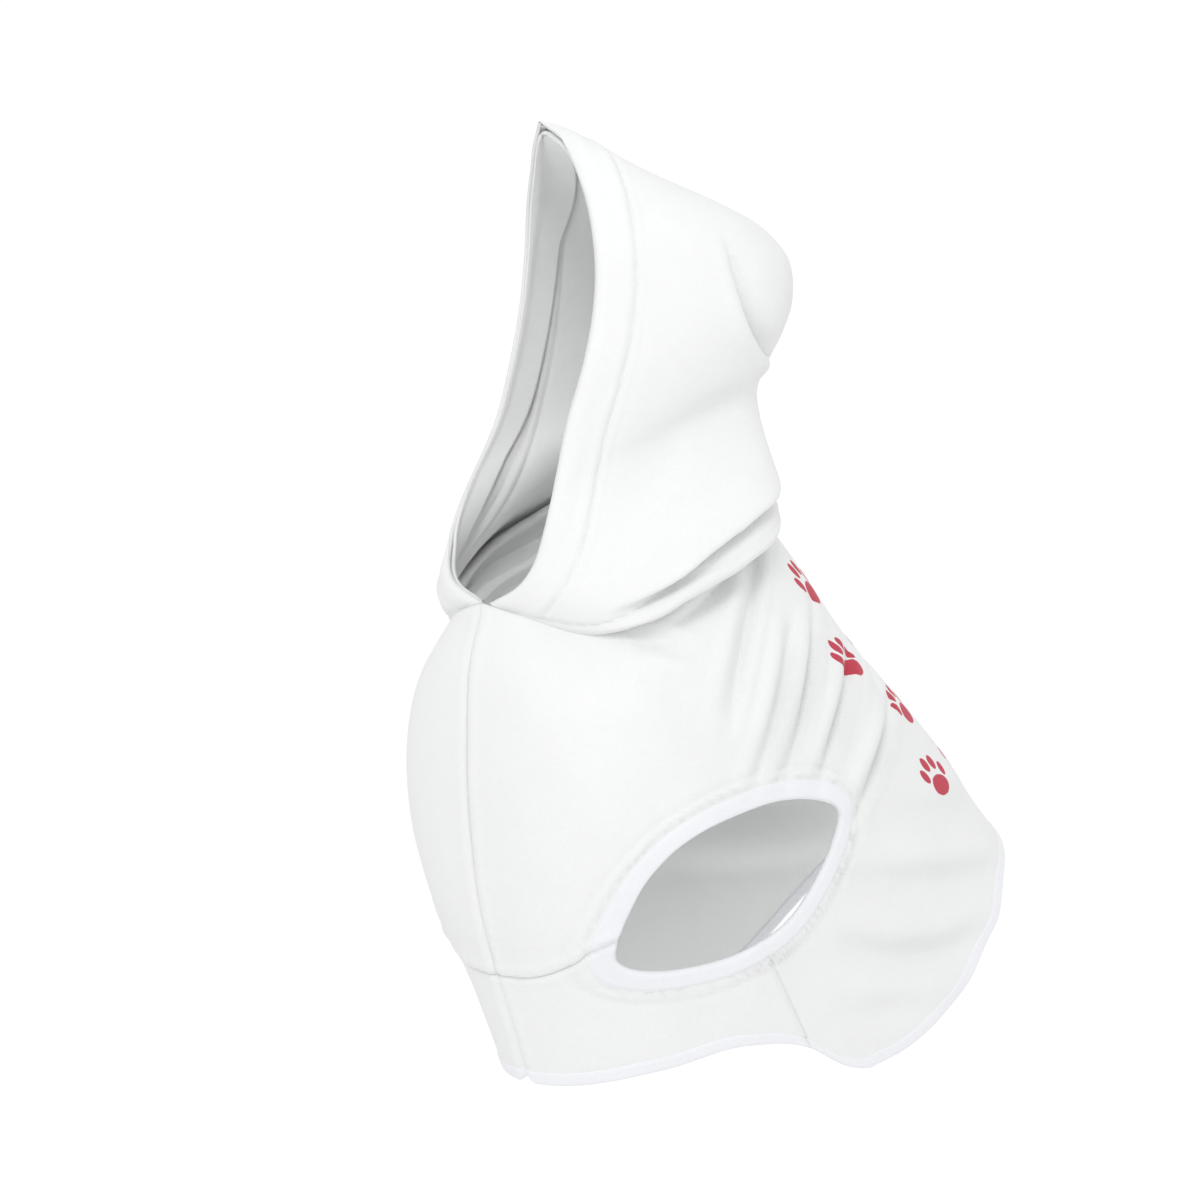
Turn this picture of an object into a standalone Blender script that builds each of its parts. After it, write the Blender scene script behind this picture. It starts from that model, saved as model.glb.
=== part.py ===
# Dog hoodie in its worn form
#
# A sleeveless hooded sweatshirt for a dog. Forward is -Y, the left side is +X and up is +Z.
# The origin is the middle of the neckline. Lengths below are in millimetres.
# Every panel is a patch of one of two smooth surfaces, the body tube or the hood,
# given a thickness by a Solidify modifier. Neighbouring panels meet edge to edge.

import bpy
import bmesh
import numpy as np

# Main sizes

BODY_WIDTH = 182.0
BODY_DEPTH = 320.0
BODY_HEIGHT = 267.0
HOOD_WIDTH = 122.0
HOOD_DEPTH = 122.0
HOOD_HEIGHT = 203.0
NECK_DROP = 18.0
HEM_DROP = 51.0
ARM_HOLE_LENGTH = 135.0
ARM_HOLE_HEIGHT = 96.5
CLOTH = 2.2
BINDING = 3.0
FACING = 1.6
SEAM_GAP = 0.3
FACING_GAP = 0.7
NECK_GAP = 0.5
ARM_BINDING_WIDTH = 9.3
TAIL_BINDING_WIDTH = 8.5
BELLY_HEM_WIDTH = 8.5
HOOD_HEM_WIDTH = 18.0
NECK_LIP = 1.3
SEAM_FLAT = 1.6
SLUMP_OUT = 11.0
SLUMP_DOWN = 4.0
HOOD_FULLNESS = 9.0
HOOD_PINCH = 13.0
FOLD_WIDTH = 8.5
FOLD_DEPTH = 3.0

# Angles in degrees, and the middle of an arm hole as shares of the body's depth and height

HOOD_TURN = 22.0
THROAT_SWEEP = 178.8
SIDE_SEAM_ANGLE = 78.0
ARM_HOLE_PLACE = (0.020, -0.562)

# Mesh fineness

BODY_STEP = 12.5
FOLD_STEP = 7.0
UPPER_ROWS = 12
LOWER_ROWS = 4
HOOD_COLUMNS = 15
HOOD_ROWS = 24
HEM_ROWS = 16
OUTLINE_POINTS = 40

# Sections of the body tube from the neckline to the hem. Every y is a share of BODY_DEPTH,
# every z a share of BODY_HEIGHT and the half width a share of BODY_WIDTH.
# share of length, front y, front z, back y, back z, half width, where it is widest,
# roundness of the front, roundness of the back

BODY = np.array([
    [0.00, -0.244, -0.079, 0.231, 0.075, 0.363, 0.50, 2.4, 2.1],
    [0.14, -0.269, -0.187, 0.291, -0.030, 0.440, 0.50, 2.9, 2.2],
    [0.30, -0.275, -0.322, 0.375, -0.150, 0.489, 0.46, 3.1, 2.3],
    [0.48, -0.269, -0.472, 0.484, -0.262, 0.500, 0.44, 3.0, 2.4],
    [0.66, -0.247, -0.629, 0.588, -0.378, 0.484, 0.43, 2.6, 2.6],
    [0.83, -0.206, -0.772, 0.662, -0.468, 0.451, 0.44, 2.2, 2.7],
    [1.00, -0.159, -0.925, 0.725, -0.547, 0.429, 0.46, 2.1, 2.9],
])

# How far the neckline and the hem drop, by angle from the front of the chest
# angle, share of NECK_DROP, share of HEM_DROP

DROP = np.array([
    [0.0, 0.00, 0.00],
    [20.0, 0.39, 0.02],
    [45.0, 1.00, 0.06],
    [65.0, 0.89, 0.16],
    [78.0, 0.61, 0.47],
    [85.0, 0.50, 0.82],
    [92.0, 0.39, 1.00],
    [98.0, 0.28, 0.98],
    [106.0, 0.17, 0.86],
    [122.0, 0.00, 0.55],
    [142.0, 0.00, 0.20],
    [160.0, 0.00, 0.00],
    [180.0, 0.00, 0.00],
])

# The seam between the chest and the belly band, by angle from the front
# angle, share of length

BELLY_SEAM = np.array([
    [0.0, 0.777],
    [12.0, 0.774],
    [20.0, 0.762],
    [27.0, 0.745],
    [34.0, 0.718],
    [42.0, 0.700],
    [180.0, 0.720],
])

# Outer edge of an arm binding seen from the side, measured from its middle
# y as a share of ARM_HOLE_LENGTH, z as a share of ARM_HOLE_HEIGHT

ARM_HOLE = np.array([
    [-0.500, -0.228],
    [-0.485, -0.031],
    [-0.448, 0.124],
    [-0.359, 0.280],
    [-0.233, 0.383],
    [-0.093, 0.446],
    [0.063, 0.492],
    [0.204, 0.503],
    [0.352, 0.477],
    [0.456, 0.415],
    [0.500, 0.301],
    [0.470, 0.145],
    [0.396, -0.041],
    [0.263, -0.259],
    [0.063, -0.425],
    [-0.152, -0.497],
    [-0.344, -0.497],
    [-0.463, -0.404],
])

# Middle line of the hood, from the neckline over the crown to the opening
# share of the way up, y as a share of HOOD_DEPTH, z as a share of HOOD_HEIGHT

CROWN = np.array([
    [0.00, 0.607, 0.099],
    [0.05, 0.615, 0.143],
    [0.12, 0.598, 0.222],
    [0.21, 0.574, 0.330],
    [0.30, 0.533, 0.438],
    [0.36, 0.615, 0.488],
    [0.45, 0.705, 0.586],
    [0.53, 0.680, 0.685],
    [0.60, 0.582, 0.749],
    [0.72, 0.377, 0.813],
    [0.86, 0.033, 0.901],
    [1.00, -0.295, 1.000],
])

# Edge of the hood's opening, on the left side, from the throat to the top
# share of the way up, then x, y and z as shares of HOOD_WIDTH, HOOD_DEPTH and HOOD_HEIGHT

OPENING = np.array([
    [0.00, 0.008, -0.639, -0.103],
    [0.08, 0.197, -0.623, -0.059],
    [0.18, 0.344, -0.541, 0.030],
    [0.30, 0.443, -0.410, 0.187],
    [0.44, 0.492, -0.303, 0.374],
    [0.58, 0.500, -0.238, 0.552],
    [0.72, 0.459, -0.221, 0.709],
    [0.84, 0.361, -0.238, 0.847],
    [0.93, 0.197, -0.262, 0.951],
    [1.00, 0.008, -0.295, 1.000],
])

# The hood slumps over the neckline at the sides and back
# share of the way up, share of SLUMP_OUT, share of SLUMP_DOWN

SLUMP = np.array([
    [0.000, 0.00, 0.00],
    [0.030, 0.09, -0.50],
    [0.050, 0.32, -0.50],
    [0.075, 0.73, 0.38],
    [0.110, 1.00, 1.00],
    [0.160, 0.77, 0.62],
    [0.230, 0.27, 0.12],
    [0.300, 0.00, 0.00],
])

# Creases and soft folds in the body cloth, each a curve through three points
# angle and share of length at the start, at the middle and at the end,
# share of FOLD_WIDTH, share of FOLD_DEPTH, height of the ridge beside it

FOLDS = np.array([
    [128, 0.045, 104, 0.065, 79, 0.095, 1.06, 1.13, 0.5],
    [122, 0.035, 98, 0.120, 86, 0.330, 0.94, 0.67, 0.7],
    [109, 0.200, 99, 0.290, 89, 0.409, 0.94, 0.87, 0.9],
    [136, 0.170, 115, 0.285, 92, 0.430, 1.00, 1.00, 0.9],
    [144, 0.280, 121, 0.365, 98, 0.458, 1.00, 0.93, 0.9],
    [139, 0.440, 121, 0.503, 106, 0.548, 0.94, 1.07, 0.9],
    [97, 0.660, 118, 0.800, 140, 0.960, 2.35, 0.73, 0.6],
    [93, 0.770, 103, 0.870, 118, 0.960, 2.12, 0.60, 0.6],
    [30, 0.060, 46, 0.075, 62, 0.150, 2.12, 0.67, 0.4],
    [-132, 0.060, -108, 0.080, -84, 0.110, 1.18, 1.00, 0.5],
    [-112, 0.170, -99, 0.270, -90, 0.400, 1.06, 0.87, 0.8],
    [-146, 0.240, -120, 0.330, -97, 0.440, 1.06, 0.93, 0.8],
    [-100, 0.680, -121, 0.810, -143, 0.950, 2.35, 0.73, 0.6],
])


# Reading the tables

def read(table, column, at):
    """A smooth curve through one column of a table."""
    xs = table[:, 0]
    ys = table[:, column]
    at = np.clip(np.asarray(at, float), xs[0], xs[-1])
    widths = np.diff(xs)
    slopes = np.diff(ys) / widths
    tangents = np.empty_like(ys)
    tangents[0] = slopes[0]
    tangents[-1] = slopes[-1]
    tangents[1:-1] = slopes[:-1] * widths[1:] + slopes[1:] * widths[:-1]
    tangents[1:-1] /= widths[1:] + widths[:-1]
    i = np.clip(np.searchsorted(xs, at, side="right") - 1, 0, len(xs) - 2)
    h = widths[i]
    s = (at - xs[i]) / h
    start = (2 * s**3 - 3 * s**2 + 1) * ys[i] + (s**3 - 2 * s**2 + s) * h * tangents[i]
    end = (3 * s**2 - 2 * s**3) * ys[i + 1] + (s**3 - s**2) * h * tangents[i + 1]
    return start + end


def ease(low, high, value):
    s = np.clip((value - low) / (high - low), 0.0, 1.0)
    return s * s * (3 - 2 * s)


# The body tube

def ring(angle, share):
    """A point of the smooth tube: angle 0 is the chest, 90 the left side and 180 the back."""
    angle, share = np.broadcast_arrays(np.asarray(angle, float), np.asarray(share, float))
    share = np.clip(share, 0.0, 1.0)
    turned = (angle + 180.0) % 360.0 - 180.0
    off = np.abs(turned)
    front_y, front_z, back_y, back_z, half, widest, front, back = [
        read(BODY, column, share) for column in range(1, 9)
    ]
    cos = np.cos(np.radians(off))
    power = 2 / np.where(cos > 0, front, back)
    along = np.sign(cos) * np.abs(cos) ** power
    across = np.abs(np.sin(np.radians(off))) ** power
    way = np.where(along > 0, widest * (1 - along), widest - (1 - widest) * along)
    drop = NECK_DROP * read(DROP, 1, off) * (1 - share) ** 2.5
    drop += HEM_DROP * read(DROP, 2, off) * share**2.2
    run = (back_y - front_y) * BODY_DEPTH
    rise = (back_z - front_z) * BODY_HEIGHT
    slope = np.hypot(run, rise)
    x = np.where(turned < 0, -half, half) * BODY_WIDTH * across
    y = front_y * BODY_DEPTH + run * way + drop * rise / slope
    z = front_z * BODY_HEIGHT + rise * way - drop * run / slope
    return np.stack([x, y, z], -1)


def outward(surface, u, v, du, dv):
    """The unit normal of a surface, by small steps in its two coordinates."""
    a = surface(u + du, v) - surface(u - du, v)
    b = surface(u, v + dv) - surface(u, v - dv)
    n = np.cross(b, a)
    return n / np.maximum(np.linalg.norm(n, axis=-1, keepdims=True), 1e-9)


def fold_depth(points):
    """How far the cloth moves outward at these points of the smooth tube."""
    depth = np.zeros(points.shape[:-1])
    steps = np.linspace(0.0, 1.0, 25)
    for row in FOLDS:
        a0, t0, a1, t1, a2, t2, width, deep, ridge = row
        width = width * FOLD_WIDTH
        weights = np.stack([
            (1 - steps) * (1 - 2 * steps), 4 * steps * (1 - steps), steps * (2 * steps - 1)
        ])
        path = ring(weights.T @ [a0, a1, a2], weights.T @ [t0, t1, t2])
        ahead = np.gradient(path, axis=0)
        ahead /= np.linalg.norm(ahead, axis=1, keepdims=True)
        gap = points[..., None, :] - path
        near = np.argmin((gap**2).sum(-1), axis=-1)
        gap = np.take_along_axis(gap, near[..., None, None], -2)[..., 0, :]
        lead = ahead[near]
        along = (gap * lead).sum(-1, keepdims=True)
        side = gap - along * lead
        face = outward(ring, weights[0][near] * a0 + weights[1][near] * a1 + weights[2][near] * a2,
                       np.interp(near, [0, 24], [t0, t2]), 1.0, 0.01)
        turn = np.sign((np.cross(face, lead) * side).sum(-1))
        s = turn * np.linalg.norm(side, axis=-1) / width
        taper = np.sin(np.pi * np.clip(steps[near] * 0.96 + 0.02, 0, 1)) ** 0.5
        taper = taper * np.exp(-(along[..., 0] / width) ** 2)
        valley = np.exp(-(s / 0.45) ** 2)
        bank = ridge * np.exp(-((s + 0.9) / 0.7) ** 2)
        depth += deep * FOLD_DEPTH * taper * (0.6 * bank - 0.7 * valley)
    return depth


def body(angle, share):
    """A point of the body cloth, with its folds, in millimetres."""
    points = ring(angle, share)
    face = outward(ring, angle, share, 0.5, 0.004)
    depth = fold_depth(points) * ease(0.0, 0.05, share)
    return points + face * depth[..., None]


# The hood

def crown_line(high):
    return read(CROWN, 1, high) * HOOD_DEPTH, read(CROWN, 2, high) * HOOD_HEIGHT


def opening_line(high):
    sizes = (HOOD_WIDTH, HOOD_DEPTH, HOOD_HEIGHT)
    return [read(OPENING, k + 1, high) * size for k, size in enumerate(sizes)]


def arc(edge_x, edge_y, edge_z, back_y, back_z, way, power):
    """A quarter of a rounded loop from the crown seam to the edge of the opening."""
    across = np.sin(way * np.pi / 2) ** power
    along = np.cos(way * np.pi / 2) ** power
    return edge_x * across, edge_y + (back_y - edge_y) * along, edge_z + (back_z - edge_z) * along


def hood_half(way, high):
    """A point of the hood's left half: way 0 is the crown seam and 1 the opening."""
    way, high = np.broadcast_arrays(np.asarray(way, float), np.asarray(high, float))
    crown = crown_line(high)
    edge = opening_line(high)
    power = 2 / (2.05 + 0.35 * ease(0.25, 0.6, high))
    x, y, z = arc(*edge, *crown, way, power)
    pinch = HOOD_PINCH * np.exp(-((way - 0.2) / 0.11) ** 2) * np.exp(-((high - 0.44) / 0.09) ** 2)
    full = HOOD_FULLNESS * np.sin(np.pi * way) * np.sin(np.pi * np.clip(high, 0, 1)) ** 0.6
    x = x + full - pinch * ease(0.0, 0.1, way)
    low = arc(*opening_line(0.0), *crown_line(0.0), way, 2 / 2.05)
    neck = ring(180 - THROAT_SWEEP * way, 0 * high)
    hold = 1 - ease(0.0, 0.30, high)
    slump = ease(0.80, 0.52, way) * (0.12 + 0.88 * ease(0.1, 0.5, way))
    out = SLUMP_OUT * read(SLUMP, 1, high) * slump
    down = SLUMP_DOWN * read(SLUMP, 2, high) * slump
    x = x + (neck[..., 0] - low[0]) * hold + out * np.sin(np.pi * way)
    y = y + (neck[..., 1] - low[1]) * hold + out * np.cos(np.pi * way) * 0.9
    z = z + (neck[..., 2] - low[2]) * hold - down
    return np.stack([x, y, z], -1)


def hood(side):
    """The surface of one half of the hood, turned with the dog's head."""
    def surface(way, high):
        points = hood_half(way, high) * [side, 1, 1]
        lift = NECK_LIP * 2 + NECK_GAP
        angle = np.radians(HOOD_TURN) * ease(0.02, 0.42, high)
        x = points[..., 0] * np.cos(angle) + points[..., 1] * np.sin(angle)
        y = points[..., 1] * np.cos(angle) - points[..., 0] * np.sin(angle)
        turned = np.stack([x, y, points[..., 2]], -1)
        return turned + lift * NECK_UP * (1 - ease(0.0, 1.0, high))[..., None]
    return surface


neck_front = BODY[0, 1:3] * (BODY_DEPTH, BODY_HEIGHT)
neck_back = BODY[0, 3:5] * (BODY_DEPTH, BODY_HEIGHT)
neck_run = (neck_back - neck_front) / np.linalg.norm(neck_back - neck_front)
NECK_UP = np.array([0.0, -neck_run[1], neck_run[0]])


# Making objects

for old in list(bpy.data.objects):
    bpy.data.objects.remove(old, do_unlink=True)

hoodie = bpy.data.collections.new("dog_hoodie")
bpy.context.scene.collection.children.link(hoodie)
cutters = bpy.data.collections.new("cutters")
bpy.context.scene.collection.children.link(cutters)
cutters.hide_render = True


def cloth_material(name, colour, rough):
    material = bpy.data.materials.new(name)
    material.use_nodes = True
    shader = material.node_tree.nodes["Principled BSDF"]
    shader.inputs["Base Color"].default_value = (*colour, 1.0)
    shader.inputs["Roughness"].default_value = rough
    return material


def mesh_object(name, points, faces, collection):
    mesh = bpy.data.meshes.new(name)
    mesh.from_pydata([tuple(p) for p in np.asarray(points) * 0.001], [], faces)
    shape = bmesh.new()
    shape.from_mesh(mesh)
    bmesh.ops.recalc_face_normals(shape, faces=shape.faces)
    shape.to_mesh(mesh)
    shape.free()
    result = bpy.data.objects.new(name, mesh)
    collection.objects.link(result)
    return result


def grid_faces(rows, columns, keep=None):
    faces = []
    for i in range(rows - 1):
        for j in range(columns - 1):
            if keep is None or keep[i, j]:
                a = i * columns + j
                faces.append((a, a + 1, a + columns + 1, a + columns))
    return faces


def panel(name, points, thickness, colour, rough, keep=None):
    """A grid of points made into a cloth panel of this thickness."""
    rows, columns = points.shape[:2]
    faces = grid_faces(rows, columns, keep)
    flat = points.reshape(-1, 3)
    used = sorted({corner for face in faces for corner in face})
    place = {old: new for new, old in enumerate(used)}
    faces = [tuple(place[corner] for corner in face) for face in faces]
    result = mesh_object(name, flat[used], faces, hoodie)
    result.data.materials.append(cloth_material(name, colour, rough))
    solidify = result.modifiers.new("thickness", "SOLIDIFY")
    solidify.thickness = thickness * 0.001
    solidify.offset = 0.0
    solidify.use_even_offset = True
    solidify.use_quality_normals = True
    return result


def cut(target, cutter, operation):
    boolean = target.modifiers.new(cutter.name, "BOOLEAN")
    boolean.operation = operation
    boolean.solver = "EXACT"
    boolean.object = cutter


def outline_prism(name, outer, inner, x0, x1):
    """A straight prism along X over an outline in y and z, with a hole where one is given."""
    n = len(outer)
    points = []
    for x in (x0, x1):
        points += [(x, y, z) for y, z in outer]
    faces = [(i, (i + 1) % n, n + (i + 1) % n, n + i) for i in range(n)]
    if inner is None:
        faces.append(tuple(range(n)))
        faces.append(tuple(range(2 * n - 1, n - 1, -1)))
    else:
        for x in (x0, x1):
            points += [(x, y, z) for y, z in inner]
        for i in range(n):
            j = (i + 1) % n
            faces.append((2 * n + i, 2 * n + j, 3 * n + j, 3 * n + i))
            faces.append((i, j, 2 * n + j, 2 * n + i))
            faces.append((n + i, n + j, 3 * n + j, 3 * n + i))
    result = mesh_object(name, points, faces, cutters)
    result.hide_render = True
    result.display_type = "WIRE"
    return result


def arm_outline(inset):
    """The smoothed outline of an arm hole, moved inward by inset."""
    middle = np.multiply(ARM_HOLE_PLACE, (BODY_DEPTH, BODY_HEIGHT))
    loop = middle + ARM_HOLE * (ARM_HOLE_LENGTH, ARM_HOLE_HEIGHT)
    n = len(loop)
    fine = []
    for i in range(n):
        a, b, c, d = loop[i - 1], loop[i], loop[(i + 1) % n], loop[(i + 2) % n]
        for s in np.linspace(0, 1, 12, endpoint=False):
            fine.append(0.5 * (2 * b + (c - a) * s + (2 * a - 5 * b + 4 * c - d) * s**2
                               + (3 * b - a - 3 * c + d) * s**3))
    fine = np.array(fine + [fine[0]])
    length = np.r_[0, np.cumsum(np.linalg.norm(np.diff(fine, axis=0), axis=1))]
    at = np.linspace(0, length[-1], OUTLINE_POINTS, endpoint=False)
    even = np.stack([np.interp(at, length, fine[:, k]) for k in (0, 1)], -1)
    ahead = np.roll(even, -1, axis=0) - np.roll(even, 1, axis=0)
    ahead /= np.linalg.norm(ahead, axis=1, keepdims=True)
    inward = np.stack([ahead[:, 1], -ahead[:, 0]], -1)
    if ((middle - even) * inward).sum() < 0:
        inward = -inward
    return even + inward * inset


# Where the columns and rows of the body grid run

def column_angles(start, end):
    """Angles from start to end, spaced along the cloth and closer together where it folds."""
    fine = np.linspace(start, end, 721)
    points = body(fine, 0.5)
    length = np.linalg.norm(np.diff(points, axis=0), axis=1)
    off = np.abs((fine[:-1] + 180) % 360 - 180)
    step = np.where((off > 84) & (off < 146), FOLD_STEP, BODY_STEP)
    count = np.r_[0, np.cumsum(length / step)]
    return np.interp(np.linspace(0, count[-1], int(round(count[-1])) + 1), count, fine)


def share_of(angle, millimetres):
    """How much of the body's length, at this angle near the hem, a width in millimetres takes."""
    one = np.linalg.norm(body(angle, 1.0) - body(angle, 0.98), axis=-1) / 0.02
    return millimetres / one


def side_gap(millimetres):
    """The angle that a width in millimetres takes at the side seam."""
    a = body(SIDE_SEAM_ANGLE, 0.9)
    b = body(SIDE_SEAM_ANGLE + 1.0, 0.9)
    return millimetres / np.linalg.norm(a - b)


def close_centre(points, columns, offsets):
    """Moves the columns at the chest so that they stand apart by the seam gap."""
    for column, offset in zip(columns, offsets):
        points[:, column, 0] = offset
    return points


WHITE = (0.86, 0.865, 0.875)
BRIGHT = (0.88, 0.88, 0.91)

# Body panel: wrapped round the body and seamed down the chest

front = column_angles(0.0, SIDE_SEAM_ANGLE)
rear = column_angles(SIDE_SEAM_ANGLE, 360.0 - SIDE_SEAM_ANGLE)
angles = np.r_[front, rear[1:], (360.0 - front[::-1])[1:]]
middle_share = read(BELLY_SEAM, 1, np.minimum(angles, 360.0 - angles))
last_share = 1.0 - share_of(angles, TAIL_BINDING_WIDTH + SEAM_GAP)
upper = np.linspace(0.0, 1.0, UPPER_ROWS + 1)[:, None] * middle_share
lower = np.linspace(0.0, 1.0, LOWER_ROWS + 1)[1:, None] * (last_share - middle_share) + middle_share
shares = np.vstack([upper, lower])
points = body(angles[None, :], shares)
lip = points[:1] + NECK_LIP * NECK_UP
points = np.vstack([lip, points])
close_centre(points, (0, -1), (SEAM_GAP / 2, -SEAM_GAP / 2))
keep = np.ones((points.shape[0] - 1, points.shape[1] - 1), bool)
keep[UPPER_ROWS + 1:, : len(front) - 1] = False
keep[UPPER_ROWS + 1:, -(len(front) - 1):] = False
body_panel = panel("body_panel", points, CLOTH, WHITE, 0.85, keep)

# Belly band: two pieces seamed at the middle of the belly

belly_angles = column_angles(0.0, SIDE_SEAM_ANGLE - side_gap(SEAM_GAP))
belly_top = read(BELLY_SEAM, 1, belly_angles) + share_of(belly_angles, SEAM_GAP)
belly_end = 1.0 - share_of(belly_angles, BELLY_HEM_WIDTH + SEAM_GAP)
belly_shares = belly_top + np.linspace(0.0, 1.0, LOWER_ROWS + 1)[:, None] * (belly_end - belly_top)
belly_bands = []
for side, name in ((1, "belly_band_left"), (-1, "belly_band_right")):
    points = body(side * belly_angles[None, :], belly_shares)
    close_centre(points, (0,), (side * SEAM_GAP / 2,))
    belly_bands.append(panel(name, points, CLOTH, WHITE, 0.85))

# Belly hem: one folded strip across the lower edge of the belly band

hem_angles = np.r_[-belly_angles[::-1], belly_angles[1:]]
hem_start = 1.0 - share_of(hem_angles, BELLY_HEM_WIDTH)
hem_shares = hem_start + np.array([[0.0], [1.0]]) * (1.0 - hem_start)
belly_hem = panel("belly_hem", body(hem_angles[None, :], hem_shares), BINDING, BRIGHT, 0.8)

# Tail binding: a folded strip round the back of the hem

tail_start = 1.0 - share_of(rear, TAIL_BINDING_WIDTH)
tail_shares = tail_start + np.array([[0.0], [1.0]]) * (1.0 - tail_start)
tail_binding = panel("tail_binding", body(rear[None, :], tail_shares), BINDING, BRIGHT, 0.8)

# Arm bindings, and the arm holes that they edge

inner = BODY_WIDTH * 0.1
for side, name, band in ((1, "left", belly_bands[0]), (-1, "right", belly_bands[1])):
    hole = outline_prism(
        "arm_hole_" + name, arm_outline(-SEAM_GAP), None, side * inner, side * BODY_WIDTH
    )
    cut(body_panel, hole, "DIFFERENCE")
    cut(band, hole, "DIFFERENCE")
    edge = outline_prism(
        "arm_ring_" + name, arm_outline(0.0), arm_outline(ARM_BINDING_WIDTH),
        side * inner, side * BODY_WIDTH,
    )
    around = side * column_angles(10.0, 150.0)
    along = np.linspace(0.15, 0.99, 14)
    binding = panel(
        "arm_binding_" + name, body(around[None, :], along[:, None]), BINDING, BRIGHT, 0.8
    )
    cut(binding, edge, "INTERSECT")

# Hood: two halves seamed over the crown

ways = np.linspace(0.0, 1.0, HOOD_COLUMNS) ** 0.85
heights = np.r_[0.0, np.linspace(0.035, 0.20, 7), np.linspace(0.20, 0.985, HOOD_ROWS - 7)[1:]]
for side, name in ((1, "hood_left"), (-1, "hood_right")):
    surface = hood(side)
    points = surface(ways[None, :], heights[:, None])
    turn = np.radians(HOOD_TURN) * ease(0.02, 0.42, heights)
    across = np.stack([np.cos(turn), -np.sin(turn), 0 * turn], -1) * side
    crown = points[:, 0]
    edge = crown + across * SEAM_GAP / 2
    flat = crown + across * SEAM_FLAT
    points = np.concatenate([edge[:, None], flat[:, None], points[:, 1:]], axis=1)
    rim = points[:1] - NECK_LIP * NECK_UP
    points = np.vstack([rim, points])
    panel(name, points, CLOTH, WHITE, 0.85)

# Hood hem: the facing sewn inside the opening, from the throat over the top and back down

def hem_grid(side):
    """Points of the facing on one side, from the opening inward, at the middle of its thickness."""
    surface = hood(side)
    highs = np.linspace(0.01, 0.985, HEM_ROWS)
    fine = np.linspace(1.0, 0.0, 201)
    top = np.interp(
        HOOD_HEM_WIDTH,
        *arc_length(surface(0.0, np.linspace(1.0, 0.7, 101)), np.linspace(1.0, 0.7, 101)),
    )
    rows = []
    for high in highs:
        way = np.interp(HOOD_HEM_WIDTH, *arc_length(surface(fine, high), fine))
        drift = ease(0.72, 1.0, high)
        inner_way = max(way, 0.0) * (1 - drift)
        inner_high = high + (top - high) * drift
        s = np.linspace(0.0, 1.0, 4)
        way_line = 1.0 + (inner_way - 1.0) * s
        high_line = high + (inner_high - high) * s
        base = surface(way_line, high_line)
        face = outward(surface, np.clip(way_line, 0.01, 0.99), high_line, 0.01, 0.004) * side
        depth = CLOTH / 2 + FACING_GAP + FACING / 2
        rows.append(base - face * depth)
    return np.array(rows)


def arc_length(line, at):
    length = np.r_[0, np.cumsum(np.linalg.norm(np.diff(line, axis=0), axis=1))]
    return length, at


left = hem_grid(1)
right = hem_grid(-1)
panel("hood_hem", np.vstack([left, right[::-1]]), FACING, WHITE, 0.85)
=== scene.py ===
# %% [markdown]
# # A white dog hoodie, shown the way a dog wears it
#
# The object is a sleeveless sweatshirt for a small dog: a soft fleece tube with a hood, two bound
# arm holes, a bound hem over the rump and a short band under the belly. The plain model gives the
# true size. This lesson cuts each panel again as fine cloth, sews it, and lights it softly.

import bpy
import numpy as np
from mathutils import Matrix, Vector


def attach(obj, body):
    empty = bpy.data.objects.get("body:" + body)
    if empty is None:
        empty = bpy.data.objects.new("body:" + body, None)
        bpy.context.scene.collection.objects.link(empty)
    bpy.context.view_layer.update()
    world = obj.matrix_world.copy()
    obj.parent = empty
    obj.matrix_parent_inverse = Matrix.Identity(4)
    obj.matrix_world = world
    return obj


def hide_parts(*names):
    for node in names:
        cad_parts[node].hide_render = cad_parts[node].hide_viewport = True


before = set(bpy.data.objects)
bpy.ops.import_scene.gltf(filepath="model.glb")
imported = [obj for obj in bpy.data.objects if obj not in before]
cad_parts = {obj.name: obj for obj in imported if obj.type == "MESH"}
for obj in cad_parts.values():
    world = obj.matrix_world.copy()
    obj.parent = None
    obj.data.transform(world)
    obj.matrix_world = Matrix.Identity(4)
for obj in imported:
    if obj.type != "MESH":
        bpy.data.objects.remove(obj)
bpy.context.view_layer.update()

# %% [markdown]
# ## Sizes
#
# A garment maker grades a pattern from a few body measures. The same measures stand here, in
# millimetres, and every table below holds shares of them, so the scene can be graded too.

# %% Named sizes
MM = 0.001
BODY_WIDTH = 182.0
BODY_DEPTH = 320.0
BODY_HEIGHT = 267.0
HOOD_WIDTH = 122.0
HOOD_DEPTH = 122.0
HOOD_HEIGHT = 203.0
NECK_DROP = 18.0
HEM_DROP = 51.0
ARM_HOLE_LENGTH = 135.0
ARM_HOLE_HEIGHT = 96.5
ARM_HOLE_PLACE = (0.020, -0.562)
CLOTH = 2.2
FACING = 1.6
ARM_BINDING_WIDTH = 10.4
TAIL_BINDING_WIDTH = 8.5
BELLY_HEM_WIDTH = 8.5
HOOD_HEM_WIDTH = 18.0
SLUMP_OUT = 12.0
SLUMP_DOWN = 5.0
HOOD_FULLNESS = 9.0
HOOD_PINCH = 7.0
HOOD_TURN = 22.0
THROAT_SWEEP = 178.8
SIDE_SEAM_ANGLE = 78.0
print("body", BODY_WIDTH, BODY_DEPTH, BODY_HEIGHT, "hood", HOOD_WIDTH, HOOD_DEPTH, HOOD_HEIGHT)

# %% [markdown]
# ## Sections of the cloth
#
# The body is a tube that leans back with the dog's trunk. Seven sections from the neckline to the
# hem describe it well, because stretched fleece has no corners between them. The hood needs the
# line over its crown and the line of its opening, and everything between is a rounded arc.

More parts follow.
